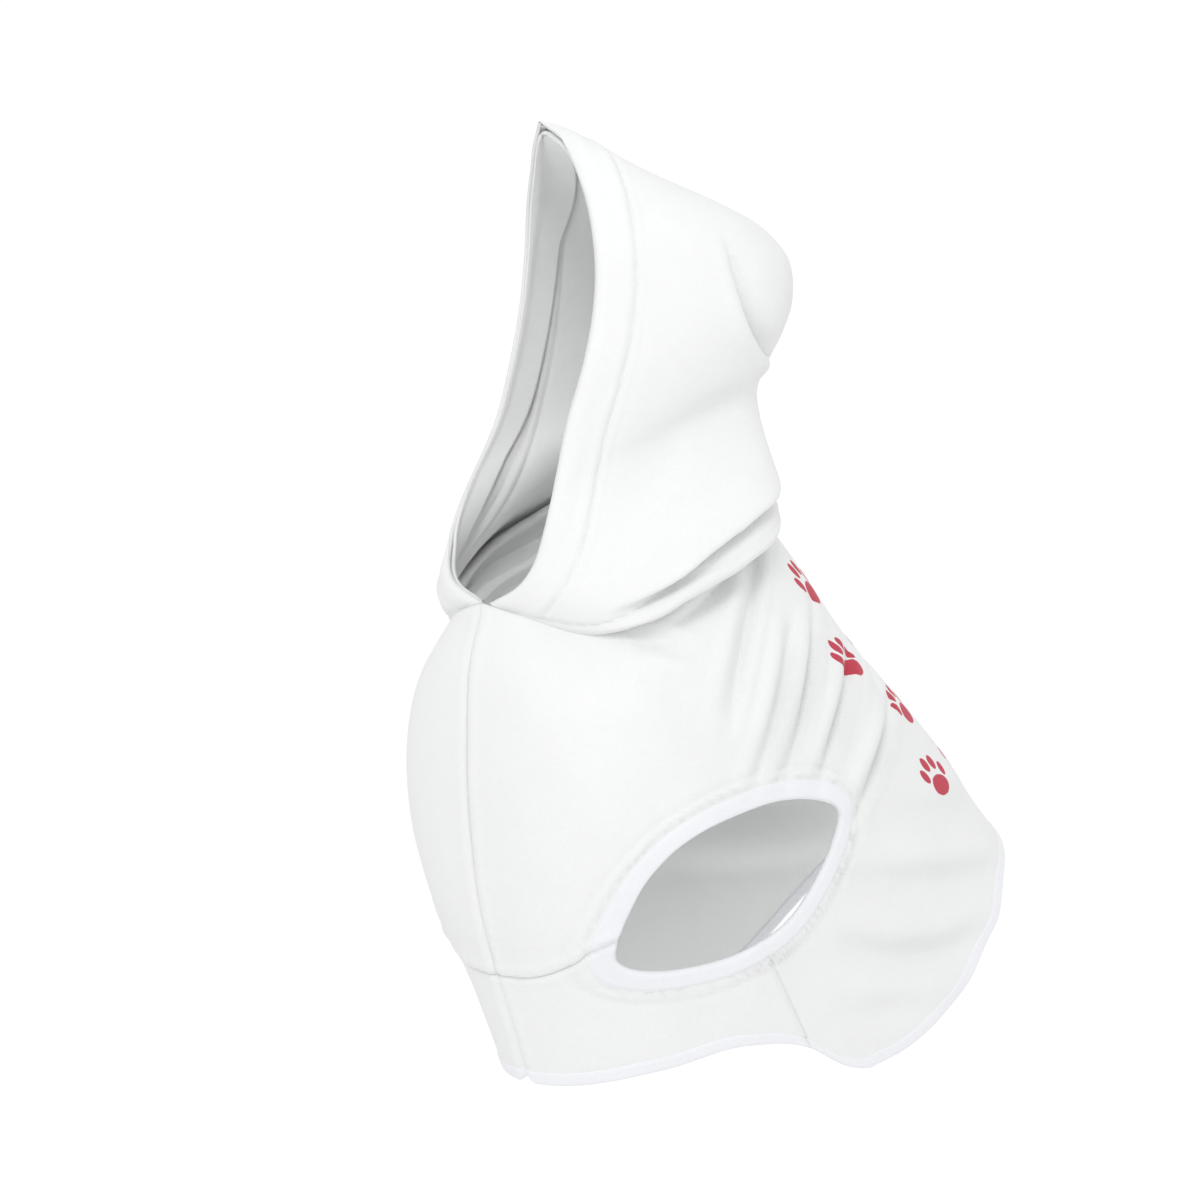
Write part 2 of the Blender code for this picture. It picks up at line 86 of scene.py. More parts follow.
# %% Tables for the body, the arm holes and the hood
# share of length, front y, front z, back y, back z, half width, widest place, two roundnesses
BODY = np.array([
    [0.00, -0.244, -0.079, 0.231, 0.075, 0.363, 0.50, 2.4, 2.1],
    [0.14, -0.269, -0.187, 0.291, -0.030, 0.440, 0.50, 2.9, 2.2],
    [0.30, -0.275, -0.322, 0.375, -0.150, 0.489, 0.46, 3.1, 2.3],
    [0.48, -0.269, -0.472, 0.484, -0.262, 0.500, 0.44, 3.0, 2.4],
    [0.66, -0.247, -0.629, 0.588, -0.378, 0.484, 0.43, 2.6, 2.6],
    [0.83, -0.206, -0.772, 0.662, -0.468, 0.451, 0.44, 2.2, 2.7],
    [1.00, -0.159, -0.925, 0.725, -0.547, 0.429, 0.46, 2.1, 2.9],
])
# angle from the chest, share of NECK_DROP, share of HEM_DROP
DROP = np.array([
    [0.0, 0.00, 0.00], [20.0, 0.39, 0.02], [45.0, 1.00, 0.06], [65.0, 0.89, 0.16],
    [78.0, 0.61, 0.47], [85.0, 0.50, 0.82], [92.0, 0.39, 1.00], [98.0, 0.28, 0.98],
    [106.0, 0.17, 0.86], [122.0, 0.00, 0.55], [142.0, 0.00, 0.20], [160.0, 0.00, 0.00],
    [180.0, 0.00, 0.00],
])
# angle from the chest, share of length
BELLY_SEAM = np.array([
    [0.0, 0.777], [12.0, 0.774], [20.0, 0.762], [27.0, 0.745], [34.0, 0.718], [42.0, 0.700],
    [180.0, 0.720],
])
# outer edge of an arm binding from the side: y as a share of its length, z of its height
ARM_HOLE = np.array([
    [-0.500, -0.228], [-0.485, -0.031], [-0.448, 0.124], [-0.359, 0.280], [-0.233, 0.383],
    [-0.093, 0.446], [0.063, 0.492], [0.204, 0.503], [0.352, 0.477], [0.456, 0.415],
    [0.500, 0.301], [0.470, 0.145], [0.396, -0.041], [0.263, -0.259], [0.063, -0.425],
    [-0.152, -0.497], [-0.344, -0.497], [-0.463, -0.404],
])
# share of the way up, y as a share of HOOD_DEPTH, z as a share of HOOD_HEIGHT
CROWN = np.array([
    [0.00, 0.607, 0.099], [0.05, 0.615, 0.143], [0.12, 0.598, 0.222], [0.21, 0.574, 0.330],
    [0.30, 0.533, 0.438], [0.36, 0.615, 0.488], [0.45, 0.705, 0.586], [0.53, 0.680, 0.685],
    [0.60, 0.582, 0.749], [0.72, 0.377, 0.813], [0.86, 0.033, 0.901], [1.00, -0.295, 1.000],
])
# share of the way up, then x, y and z as shares of the hood's width, depth and height
OPENING = np.array([
    [0.00, 0.008, -0.639, -0.103], [0.08, 0.197, -0.623, -0.059], [0.18, 0.344, -0.541, 0.030],
    [0.30, 0.443, -0.410, 0.187], [0.44, 0.492, -0.303, 0.374], [0.58, 0.500, -0.238, 0.552],
    [0.72, 0.459, -0.221, 0.709], [0.84, 0.361, -0.238, 0.847], [0.93, 0.197, -0.262, 0.951],
    [1.00, 0.008, -0.295, 1.000],
])
# share of the way up, share of SLUMP_OUT, share of SLUMP_DOWN
SLUMP = np.array([
    [0.000, 0.00, 0.00], [0.008, 0.50, 0.30], [0.022, 0.90, 0.45], [0.044, 0.85, 0.20],
    [0.066, 0.45, -0.30], [0.080, 0.04, -0.75], [0.094, 0.10, -0.60], [0.109, 0.86, 0.40],
    [0.124, 1.18, 0.95], [0.147, 1.16, 0.95], [0.180, 0.95, 0.60], [0.230, 0.50, 0.25],
    [0.290, 0.15, 0.00], [0.340, 0.00, 0.00],
])
print(len(BODY), "body sections and", len(CROWN), "points over the crown")

# %% [markdown]
# ## Surfaces
#
# A panel is easiest to shape as a function: two coordinates on the cloth go in and a point comes
# out. The folds, the seams and the stitches can then all ask the same function where they lie.

# %% Smooth curves, the body tube and the hood
def read(table, column, at):
    """A smooth curve through one column of a table."""
    xs = table[:, 0]
    ys = table[:, column]
    at = np.clip(np.asarray(at, float), xs[0], xs[-1])
    widths = np.diff(xs)
    slopes = np.diff(ys) / widths
    tangents = np.empty_like(ys)
    tangents[0] = slopes[0]
    tangents[-1] = slopes[-1]
    tangents[1:-1] = slopes[:-1] * widths[1:] + slopes[1:] * widths[:-1]
    tangents[1:-1] /= widths[1:] + widths[:-1]
    i = np.clip(np.searchsorted(xs, at, side="right") - 1, 0, len(xs) - 2)
    h = widths[i]
    s = (at - xs[i]) / h
    start = (2 * s**3 - 3 * s**2 + 1) * ys[i] + (s**3 - 2 * s**2 + s) * h * tangents[i]
    end = (3 * s**2 - 2 * s**3) * ys[i + 1] + (s**3 - s**2) * h * tangents[i + 1]
    return start + end


def ease(low, high, value):
    s = np.clip((value - low) / (high - low), 0.0, 1.0)
    return s * s * (3 - 2 * s)


def bell(value, width):
    return np.exp(-(value / width) ** 2)


def unit(vectors):
    return vectors / np.maximum(np.linalg.norm(vectors, axis=-1, keepdims=True), 1e-9)


def ring(angle, share):
    """A point of the smooth tube: angle 0 is the chest, 90 the left side and 180 the back."""
    angle, share = np.broadcast_arrays(np.asarray(angle, float), np.asarray(share, float))
    share = np.clip(share, 0.0, 1.0)
    turned = (angle + 180.0) % 360.0 - 180.0
    off = np.abs(turned)
    front_y, front_z, back_y, back_z, half, widest, front, back = [
        read(BODY, column, share) for column in range(1, 9)
    ]
    cos = np.cos(np.radians(off))
    power = 2 / np.where(cos > 0, front, back)
    along = np.sign(cos) * np.abs(cos) ** power
    across = np.abs(np.sin(np.radians(off))) ** power
    way = np.where(along > 0, widest * (1 - along), widest - (1 - widest) * along)
    drop = NECK_DROP * read(DROP, 1, off) * (1 - share) ** 2.5
    drop += HEM_DROP * read(DROP, 2, off) * share**2.2
    run = (back_y - front_y) * BODY_DEPTH
    rise = (back_z - front_z) * BODY_HEIGHT
    slope = np.hypot(run, rise)
    x = np.where(turned < 0, -half, half) * BODY_WIDTH * across
    y = front_y * BODY_DEPTH + run * way + drop * rise / slope
    z = front_z * BODY_HEIGHT + rise * way - drop * run / slope
    return np.stack([x, y, z], -1)


def outward(surface, u, v, du, dv):
    """The unit normal of a surface, by small steps in its two coordinates."""
    a = surface(u + du, v) - surface(u - du, v)
    b = surface(u, v + dv) - surface(u, v - dv)
    return unit(np.cross(b, a))




def opening_line(high):
    sizes = (HOOD_WIDTH, HOOD_DEPTH, HOOD_HEIGHT)
    return [read(OPENING, k + 1, high) * size for k, size in enumerate(sizes)]


def crown_line(high):
    return read(CROWN, 1, high) * HOOD_DEPTH, read(CROWN, 2, high) * HOOD_HEIGHT


def arc(edge_x, edge_y, edge_z, back_y, back_z, way, power):
    """A quarter of a rounded loop from the crown seam to the edge of the opening."""
    across = np.sin(way * np.pi / 2) ** power
    along = np.cos(way * np.pi / 2) ** power
    return edge_x * across, edge_y + (back_y - edge_y) * along, edge_z + (back_z - edge_z) * along


def hood_half(way, high):
    """The hood's left half before the head turns: way 0 is the crown seam and 1 the opening."""
    way, high = np.broadcast_arrays(np.asarray(way, float), np.asarray(high, float))
    way = np.clip(way, 0.0, 1.0)
    power = 2 / (2.05 + 0.35 * ease(0.25, 0.6, high))
    back_y, back_z = crown_line(high)
    back_y = back_y + 10.0 * bell(high - 0.31, 0.08) * ease(0.05, 0.35, way)
    x, y, z = arc(*opening_line(high), back_y, back_z, way, power)
    pinch = HOOD_PINCH * bell(way - 0.2, 0.11) * bell(high - 0.44, 0.09)
    full = HOOD_FULLNESS * np.sin(np.pi * way) * np.sin(np.pi * np.clip(high, 0, 1)) ** 0.6
    x = x + full - pinch * ease(0.0, 0.1, way)
    low = arc(*opening_line(0.0), *crown_line(0.0), way, 2 / 2.05)
    neck = ring(180 - THROAT_SWEEP * way, 0 * high)
    hold = 1 - ease(0.0, 0.30, high)
    slump = ease(0.80, 0.60, way) * (0.04 + 0.96 * ease(0.18, 0.42, way))
    lip = high + 0.040 * ease(0.42, 0.80, way) * ease(0.0, 0.02, high)
    out = SLUMP_OUT * read(SLUMP, 1, lip) * slump
    down = SLUMP_DOWN * read(SLUMP, 2, lip) * slump
    x = x + (neck[..., 0] - low[0]) * hold + out * np.sin(np.pi * way)
    y = y + (neck[..., 1] - low[1]) * hold + out * np.cos(np.pi * way) * 0.9
    z = z + (neck[..., 2] - low[2]) * hold - down
    return np.stack([x, y, z], -1)


def hood(side):
    """One half of the hood, turned with the dog's head."""
    def surface(way, high):
        points = hood_half(way, high) * [side, 1, 1]
        angle = np.radians(HOOD_TURN) * ease(0.02, 0.42, high)
        x = points[..., 0] * np.cos(angle) + points[..., 1] * np.sin(angle)
        y = points[..., 1] * np.cos(angle) - points[..., 0] * np.sin(angle)
        return np.stack([x, y, points[..., 2]], -1)
    return surface


print("neckline at the chest", ring(0.0, 0.0).round(1), "top of the hood", hood(1)(0.5, 1.0).round(1))

# %% [markdown]
# ## Folds
#
# Fleece that is pulled between the neck, the arm hole and the rump lies in shallow valleys with a
# swollen bank on one side. Each fold is a curve on the cloth. Its bank also leans over the valley,
# since a real crease shades hardest where the cloth folds over on itself.

# %% Fold tables and how they move the cloth
# angle and share at the start, middle and end, width, depth, bank, lean in mm, width of the wall
BODY_FOLDS = np.array([
    [74, 0.066, 96, 0.026, 140, 0.002, 8.5, 4.2, 0.2, 1.4, 0.30],
    [124, 0.012, 95, 0.150, 87.5, 0.300, 9.0, 6.4, 0.8, 0.8, 0.30],
    [112, 0.185, 98, 0.297, 88, 0.450, 8.0, 6.2, 0.8, 1.0, 0.30],
    [130, 0.190, 108, 0.305, 91, 0.462, 8.0, 6.6, 0.8, 1.2, 0.30],
    [137, 0.305, 112, 0.397, 97, 0.500, 8.5, 6.6, 0.9, 1.2, 0.30],
    [139, 0.450, 118, 0.515, 102, 0.580, 9.0, 6.6, 0.9, 1.2, 0.30],
    [152, 0.360, 140, 0.400, 124, 0.440, 9.0, 2.6, 0.8, 0.6, 0.40],
    [60, 0.050, 72, 0.085, 80, 0.150, 10.0, 4.2, 0.6, 0.2, 0.70],
    [62, 0.130, 72, 0.180, 79, 0.240, 11.0, 3.2, 0.5, 0.0, 0.80],
    [97, 0.667, 117, 0.800, 139, 0.970, 16.0, 5.4, 0.9, 0.0, 0.50],
    [92, 0.765, 103, 0.870, 119, 0.962, 14.0, 4.8, 0.9, 0.0, 0.50],
    [90, 0.890, 96, 0.925, 101, 0.960, 9.0, 1.8, 0.5, 0.0, 0.80],
    [106, 0.590, 122, 0.680, 146, 0.790, 18.0, 3.4, 0.9, 0.0, 0.60],
    [20, 0.050, 40, 0.085, 50, 0.220, 20.0, 2.6, 0.4, 0.0, 0.80],
    [72, 0.290, 62, 0.370, 48, 0.470, 22.0, 2.0, 0.5, 0.0, 0.80],
    [-150, 0.000, -104, 0.020, -80, 0.062, 8.0, 2.8, 0.1, 2.0, 0.25],
    [-132, 0.060, -108, 0.100, -86, 0.220, 9.0, 3.4, 1.0, 1.0, 0.25],
    [-112, 0.170, -99, 0.270, -90, 0.400, 9.0, 3.6, 1.0, 1.0, 0.25],
    [-146, 0.240, -120, 0.330, -97, 0.440, 9.0, 3.8, 1.0, 1.0, 0.25],
    [-136, 0.460, -121, 0.505, -106, 0.555, 8.0, 3.6, 1.0, 1.0, 0.25],
    [-100, 0.680, -121, 0.810, -143, 0.950, 18.0, 3.8, 0.9, 0.0, 0.60],
    [165, 0.060, 180, 0.090, 196, 0.060, 15.0, 2.4, 0.6, 0.4, 0.40],
    [168, 0.230, 180, 0.262, 193, 0.225, 14.0, 2.0, 0.6, 0.2, 0.50],
])
# way and share of height at the start, middle and end, then the same four lengths
HOOD_FOLDS = np.array([
    [0.260, 0.345, 0.530, 0.440, 0.590, 0.600, 10.0, 9.0, 0.0, 2.6, 0.30],
    [0.450, 0.300, 0.600, 0.240, 0.740, 0.180, 22.0, 1.6, 0.2, 0.0, 1.00],
    [0.300, 0.800, 0.500, 0.760, 0.700, 0.700, 26.0, 1.6, 0.4, 0.0, 0.80],
])


def lie_in(surface, table, points, du, dv):
    """How far folds move cloth out along its normal, and sideways over their own valleys."""
    out = np.zeros(points.shape[:-1])
    over = np.zeros(points.shape)
    steps = np.linspace(0.0, 1.0, 41)
    weights = np.stack([
        (1 - steps) * (1 - 2 * steps), 4 * steps * (1 - steps), steps * (2 * steps - 1)
    ])
    for u0, v0, u1, v1, u2, v2, width, deep, bank, lean, wall in table:
        us = np.array([u0, u1, u2])
        vs = np.array([v0, v1, v2])
        path = weights.T @ surface(us, vs)
        faces = unit(weights.T @ outward(surface, us, vs, du, dv))
        ahead = unit(np.gradient(path, axis=0))
        box = (points > path.min(0) - 4 * width) & (points < path.max(0) + 4 * width)
        near_by = box.all(-1)
        if not near_by.any():
            continue
        here = points[near_by]
        gap = here[:, None, :] - path
        near = np.argmin((gap**2).sum(-1), axis=-1)
        gap = gap[np.arange(len(near)), near]
        along = (gap * ahead[near]).sum(-1)
        aside = unit(np.cross(faces[near], ahead[near]))
        s = (gap * aside).sum(-1) / width
        flat = np.abs((gap * faces[near]).sum(-1))
        taper = np.sin(np.pi * np.clip(steps[near] * 0.94 + 0.03, 0, 1)) ** 0.6
        taper = taper * bell(along, 0.8 * width) * ease(3.0 * width, 1.5 * width, flat)
        valley = np.where(s < 0, bell(s, 0.80), bell(s, wall))
        shoulder = 0.45 * bank * bell(s + 1.35, 0.6) + 0.2 * bell(s - wall - 0.2, 0.35)
        out[near_by] += deep * taper * (shoulder - 0.8 * valley)
        over[near_by] -= (lean * taper * bell(s - 0.3, 0.3))[:, None] * aside
    return out, over


def wander(u, v, seed):
    """Slow unevenness of soft cloth, from a few waves that never line up."""
    total = np.zeros(np.broadcast(u, v).shape)
    for k in range(1, 6):
        turn = seed * 1.7 + k * 2.399
        total = total + np.sin(u * k * np.cos(turn) + v * k * np.sin(turn) + seed * k) / k
    return total


print(len(BODY_FOLDS), "folds in the body and", len(HOOD_FOLDS), "in each half of the hood")

# %% [markdown]
# ## The arm hole's outline
#
# The binding follows one closed curve, drawn from the side. Points of the curve are carried onto
# the tube by solving for the place on the cloth that has the same height and depth.

# %% Outline of an arm hole and its place on the cloth
def arm_outline(inset, count):
    """The smoothed outline of an arm hole from the side, moved inward by inset."""
    middle = np.multiply(ARM_HOLE_PLACE, (BODY_DEPTH, BODY_HEIGHT))
    loop = middle + ARM_HOLE * (ARM_HOLE_LENGTH, ARM_HOLE_HEIGHT)
    n = len(loop)
    fine = []
    for i in range(n):
        a, b, c, d = loop[i - 1], loop[i], loop[(i + 1) % n], loop[(i + 2) % n]
        for s in np.linspace(0, 1, 12, endpoint=False):
            bend = (2 * a - 5 * b + 4 * c - d) * s**2 + (3 * b - a - 3 * c + d) * s**3
            fine.append(0.5 * (2 * b + (c - a) * s + bend))
    fine = np.array(fine + [fine[0]])
    length = np.r_[0, np.cumsum(np.linalg.norm(np.diff(fine, axis=0), axis=1))]
    at = np.linspace(0, length[-1], count, endpoint=False)
    even = np.stack([np.interp(at, length, fine[:, k]) for k in (0, 1)], -1)
    for _ in range(4):
        even = (np.roll(even, 1, axis=0) + 2 * even + np.roll(even, -1, axis=0)) / 4
    ahead = unit(np.roll(even, -1, axis=0) - np.roll(even, 1, axis=0))
    inward = np.stack([ahead[:, 1], -ahead[:, 0]], -1)
    if ((middle - even) * inward).sum() < 0:
        inward = -inward
    return even + inward * inset


ARM_EDGE = arm_outline(0.0, 220)


def from_arm_edge(points):
    """Distance from the arm hole's outer edge seen from the side, less than 0 inside it."""
    flat = points[..., 1:].reshape(-1, 2)
    gap = flat[:, None, :] - ARM_EDGE
    near = np.argmin((gap**2).sum(-1), axis=1)
    gap = gap[np.arange(len(near)), near]
    ahead = unit(np.roll(ARM_EDGE, -1, axis=0) - np.roll(ARM_EDGE, 1, axis=0))[near]
    turn = np.sign(np.cross(ARM_EDGE[30] - ARM_EDGE[0], ARM_EDGE[110] - ARM_EDGE[30]))
    signed = -turn * (ahead[:, 0] * gap[:, 1] - ahead[:, 1] * gap[:, 0])
    signed = np.sign(signed) * np.linalg.norm(gap, axis=1)
    return signed.reshape(points.shape[:-1])


def onto_tube(flat, side):
    """Angle and share of the point of the tube that lies at each depth and height."""
    angles, shares = np.meshgrid(np.linspace(8, 165, 120), np.linspace(0.1, 1.0, 90), indexing="ij")
    grid = ring(angles, shares)[..., 1:]
    angle = np.empty(len(flat))
    share = np.empty(len(flat))
    for i, spot in enumerate(flat):
        k = np.argmin(((grid - spot) ** 2).sum(-1))
        angle[i] = angles.flat[k]
        share[i] = shares.flat[k]
    for _ in range(8):
        miss = ring(angle, share)[:, 1:] - flat
        by_angle = (ring(angle + 0.2, share) - ring(angle - 0.2, share))[:, 1:] / 0.4
        by_share = (ring(angle, share + 0.002) - ring(angle, share - 0.002))[:, 1:] / 0.004
        det = by_angle[:, 0] * by_share[:, 1] - by_angle[:, 1] * by_share[:, 0]
        det = np.where(np.abs(det) < 1e-6, 1e-6, det)
        angle = angle - np.clip((miss[:, 0] * by_share[:, 1] - miss[:, 1] * by_share[:, 0]) / det, -8, 8)
        share = share + np.clip((miss[:, 0] * by_angle[:, 1] - miss[:, 1] * by_angle[:, 0]) / det, -0.05, 0.05)
        share = np.clip(share, 0.05, 0.998)
    return side * angle, share


print("an arm hole is", round(float(np.linalg.norm(np.diff(ARM_EDGE, axis=0), axis=1).sum())), "mm round")

# %% [markdown]
# ## Cloth with its seams
#
# A seam pulls a narrow trench into fleece and leaves two soft rolls beside it. Next to a binding
# the cloth rises in a thin bead before the stitch line pulls it down. All of it is height added to
# the smooth tube, so it catches the light as cloth does.

# %% The finished body and hood surfaces
def body(angle, share):
    """A point of the body cloth with its folds and seams."""
    angle, share = np.broadcast_arrays(np.asarray(angle, float), np.asarray(share, float))
    base = ring(angle, share)
    face = outward(ring, angle, share, 0.5, 0.004)
    out, over = lie_in(ring, BODY_FOLDS, base, 0.5, 0.004)
    free = ease(0.0, 0.03, share)
    off = np.abs((angle + 180) % 360 - 180)
    arm = np.where(off < 150, from_arm_edge(base), 99.0)
    loose = 0.35 + 0.65 * ease(-2.0, 6.0, arm)
    out = out * free * loose + 0.35 * wander(np.radians(angle) * 2.2, share * 6.0, 1.0) * free
    chest = np.where(off < 60, np.abs(base[..., 0]), 99.0)
    pucker = 0.5 + 0.5 * np.sin(base[..., 2] * 0.9 + 1.3 * np.sin(base[..., 2] * 0.21))
    out = out - (0.6 * bell(chest, 2.4) + (0.4 + 0.2 * pucker) * bell(chest, 0.8)) * free
    out = out + (0.45 + 0.25 * pucker) * bell(chest - 5.0, 2.6) * free
    below = (share - read(BELLY_SEAM, 1, off)) * BODY_HEIGHT * 0.9
    band = ease(84.0, 76.0, off)
    out = out - 1.3 * bell(below, 1.2) * band + 0.8 * bell(below + 3.4, 2.2) * band
    out = out + 0.35 * bell(below - 3.0, 2.0) * band
    puff = 0.5 + 0.5 * np.sin(angle * 0.4 + share * 30)
    bead = 0.9 * bell(arm - 2.1, 1.2) - 0.6 * bell(arm - 0.2, 0.7) - 0.4 * bell(arm - 5.2, 1.8)
    out = out + np.where(arm > -0.8, bead + (0.1 + 0.06 * puff) * bell(arm - 8.0, 2.5), 0.0)
    side_seam = np.where(below > 0, np.abs(off - SIDE_SEAM_ANGLE) * 3.0, 99.0)
    out = out - 0.7 * bell(side_seam, 1.6) + 0.3 * bell(side_seam - 3.5, 1.8)
    return base + face * out[..., None] + over * (free * loose)[..., None]


OPENING_EDGE = np.concatenate([
    hood(side)(1.0, np.linspace(0.0, 1.0, 240)[::side]) for side in (1, -1)
])
OPENING_AHEAD = unit(np.gradient(OPENING_EDGE, axis=0))


def from_opening(points):
    """Distance from the edge of the hood's opening."""
    flat = points.reshape(-1, 3)
    nearest = np.empty(len(flat))
    for start in range(0, len(flat), 4000):
        some = flat[start:start + 4000]
        near = np.argmin(((some[:, None, :] - OPENING_EDGE) ** 2).sum(-1), axis=1)
        gap = some - OPENING_EDGE[near]
        gap = gap - (gap * OPENING_AHEAD[near]).sum(-1, keepdims=True) * OPENING_AHEAD[near]
        nearest[start:start + 4000] = np.linalg.norm(gap, axis=1)
    return nearest.reshape(points.shape[:-1])


def hood_cloth(side):
    """A half of the hood with its folds, hem and seams."""
    smooth = hood(side)

    def surface(way, high):
        way, high = np.broadcast_arrays(np.asarray(way, float), np.asarray(high, float))
        base = smooth(way, high)
        inner_way = np.clip(way, 0.012, 0.988)
        inner_high = np.clip(high, 0.006, 0.985)
        face = outward(smooth, inner_way, inner_high, 0.01, 0.004) * side
        out, over = lie_in(smooth, HOOD_FOLDS, base, 0.01, 0.004)
        gap = from_opening(base)
        calm = ease(HOOD_HEM_WIDTH, HOOD_HEM_WIDTH + 10, gap) * ease(0.0, 0.05, high)
        out = out * calm + 0.5 * wander(way * 5.0, high * 7.0, 2.0 + side) * calm
        crown = np.linalg.norm(base - smooth(0.0, high), axis=-1)
        sewn = 1 - 0.8 * ease(0.95, 1.0, high)
        out = out - (1.1 * bell(crown, 1.4) - 0.35 * bell(crown - 3.6, 2.2)) * sewn
        roll = np.clip(1 - gap / 3.0, 0, 1) * (1 - 0.7 * ease(0.90, 0.97, high))
        out = out - 2.2 * (1 - np.sqrt(1 - roll**2 * 0.96))
        ridge = 0.5 * bell(gap - HOOD_HEM_WIDTH + 2.6, 1.3) + 0.5 * bell(gap - HOOD_HEM_WIDTH - 2.8, 1.5)
        trench = 0.75 * bell(gap - HOOD_HEM_WIDTH, 1.3) + 0.5 * bell(gap - 10.0, 3.0)
        puff = 1.1 * np.sin(np.pi * np.clip(gap / HOOD_HEM_WIDTH, 0, 1)) ** 0.8
        out = out + (ridge - trench + puff) * ease(0.0, 0.04, high)
        seam = (high - 0.008 - 0.040 * ease(0.92, 0.62, way)) * HOOD_HEIGHT
        out = out - 0.8 * bell(seam, 0.9) * ease(0.0, 0.004, high)
        out = out + 0.35 * wander(high * 22.0, gap * 0.12, 5.0) * ease(20, 12, gap) * ease(0, 6, gap)
        return base + face * out[..., None] + over * calm[..., None]
    return surface


print("a body point", body(95.0, 0.4).round(1), "and a hood point", hood_cloth(1)(0.6, 0.4).round(1))

# %% [markdown]
# ## Making pieces of cloth
#
# A panel is a grid of points with a thickness, and a binding is a folded strip: its rounded
# section is carried along the edge that it covers. Both keep their distances in millimetres as
# texture coordinates, so the knit runs true along the cloth.

# %% Grids, strips and stitches
def mesh_piece(name, points, faces, places, material):
    mesh = bpy.data.meshes.new(name)
    mesh.from_pydata((np.asarray(points) * MM).tolist(), [], faces)
    layer = mesh.uv_layers.new(name="millimetres")
    corner = np.empty(len(mesh.loops), int)
    mesh.loops.foreach_get("vertex_index", corner)
    layer.data.foreach_set("uv", np.asarray(places, float)[corner].ravel())
    mesh.shade_smooth()
    mesh.materials.append(material)
    piece = bpy.data.objects.new(name, mesh)
    bpy.context.scene.collection.objects.link(piece)
    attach(piece, "root")
    return piece


def distances(points, zero_column=None):
    """Millimetres along the rows and down the columns of a grid of points."""
    across = np.linalg.norm(np.diff(points, axis=1), axis=-1)
    across = np.concatenate([np.zeros((len(points), 1)), np.cumsum(across, axis=1)], axis=1)
    down = np.linalg.norm(np.diff(points, axis=0), axis=-1)
    down = np.concatenate([np.zeros((1, points.shape[1])), np.cumsum(down, axis=0)], axis=0)
    if zero_column is not None:
        across = across - across[:, zero_column:zero_column + 1]
    return np.stack([across, down], -1)


def panel(name, points, material, thickness=CLOTH, keep=None, zero_column=None, face=None):
    rows, columns = points.shape[:2]
    index = np.arange(rows * columns).reshape(rows, columns)
    quads = np.stack([index[:-1, :-1], index[:-1, 1:], index[1:, 1:], index[1:, :-1]], -1)
    quads = quads.reshape(-1, 4) if keep is None else quads[keep]
    used, again = np.unique(quads, return_inverse=True)
    places = distances(points, zero_column).reshape(-1, 2)
    faces = again.reshape(-1, 4).tolist()
    piece = mesh_piece(name, points.reshape(-1, 3)[used], faces, places[used], material)
    solid = piece.modifiers.new("thickness", "SOLIDIFY")
    solid.thickness = thickness * MM
    solid.offset = 0.0
    if face is not None:
        piece.data.materials.append(face)
        solid.material_offset = 1
    return piece


def strip(name, base, face, heights, material, closed):
    """A folded strip. base and face hold its path by rows and its width by columns."""
    outer = base + face * heights[:, None]
    inner = (base - face * heights[:, None])[:, -2:0:-1]
    loops = np.concatenate([outer, inner], axis=1)
    count, around = loops.shape[:2]
    index = np.arange(count * around).reshape(count, around)
    ahead = np.roll(index, -1, axis=0) if closed else index[1:]
    here = index if closed else index[:-1]
    quads = np.stack([here, np.roll(here, -1, axis=1), np.roll(ahead, -1, axis=1), ahead], -1)
    faces = quads.reshape(-1, 4).tolist()
    if not closed:
        faces += [index[0][::-1].tolist(), index[-1].tolist()]
    length = np.r_[0, np.cumsum(np.linalg.norm(np.diff(loops[:, 0], axis=0), axis=1))]
    round_it = np.r_[0, np.cumsum(np.linalg.norm(np.diff(loops[0], axis=0), axis=1))]
    places = np.stack(np.broadcast_arrays(round_it[None, :], length[:, None]), -1)
    return mesh_piece(name, loops.reshape(-1, 3), faces, places.reshape(-1, 2), material)


def stitches(name, rows, material, length=2.7, pitch=3.5, radius=0.30, sides=6):
    """Threads along each (path, normals) row, dipping into the cloth at both ends."""
    points = []
    faces = []
    for path, normals in rows:
        run = np.r_[0, np.cumsum(np.linalg.norm(np.diff(path, axis=0), axis=1))]
        for start in np.arange(0.5, run[-1] - length, pitch):
            at = start + np.linspace(0, length, 5)
            centre = np.stack([np.interp(at, run, path[:, k]) for k in range(3)], -1)
            up = unit(np.stack([np.interp(at, run, normals[:, k]) for k in range(3)], -1))
            ahead = unit(centre[-1] - centre[0])
            across = unit(np.cross(ahead, up))
            lift = np.array([-0.45, 0.10, 0.22, 0.10, -0.45])[:, None] * up
            first = len(points)
            for k in range(5):
                for turn in np.arange(sides) * 2 * np.pi / sides:
                    spoke = across[k] * np.cos(turn) + up[k] * np.sin(turn)
                    points.append(centre[k] + lift[k] + spoke * radius)
            for k in range(4):
                for j in range(sides):
                    a = first + k * sides + j
                    b = first + k * sides + (j + 1) % sides
                    faces.append((a, b, b + sides, a + sides))
            faces.append(tuple(range(first + sides - 1, first - 1, -1)))
            faces.append(tuple(range(first + 4 * sides, first + 5 * sides)))
    return mesh_piece(name, points, faces, np.zeros((len(points), 2)), material)


print("ready to cut cloth")

# %% [markdown]
# ## Materials
#
# The cloth is white sweatshirt fleece: a fine knit with its loops just visible, matt, with a thin
# haze of loose fibre. The bindings are smoother rib tape, a touch cooler. The print lies in the
# cloth as ink does, so it is drawn from the cloth's own millimetres and keeps the knit's bumps.

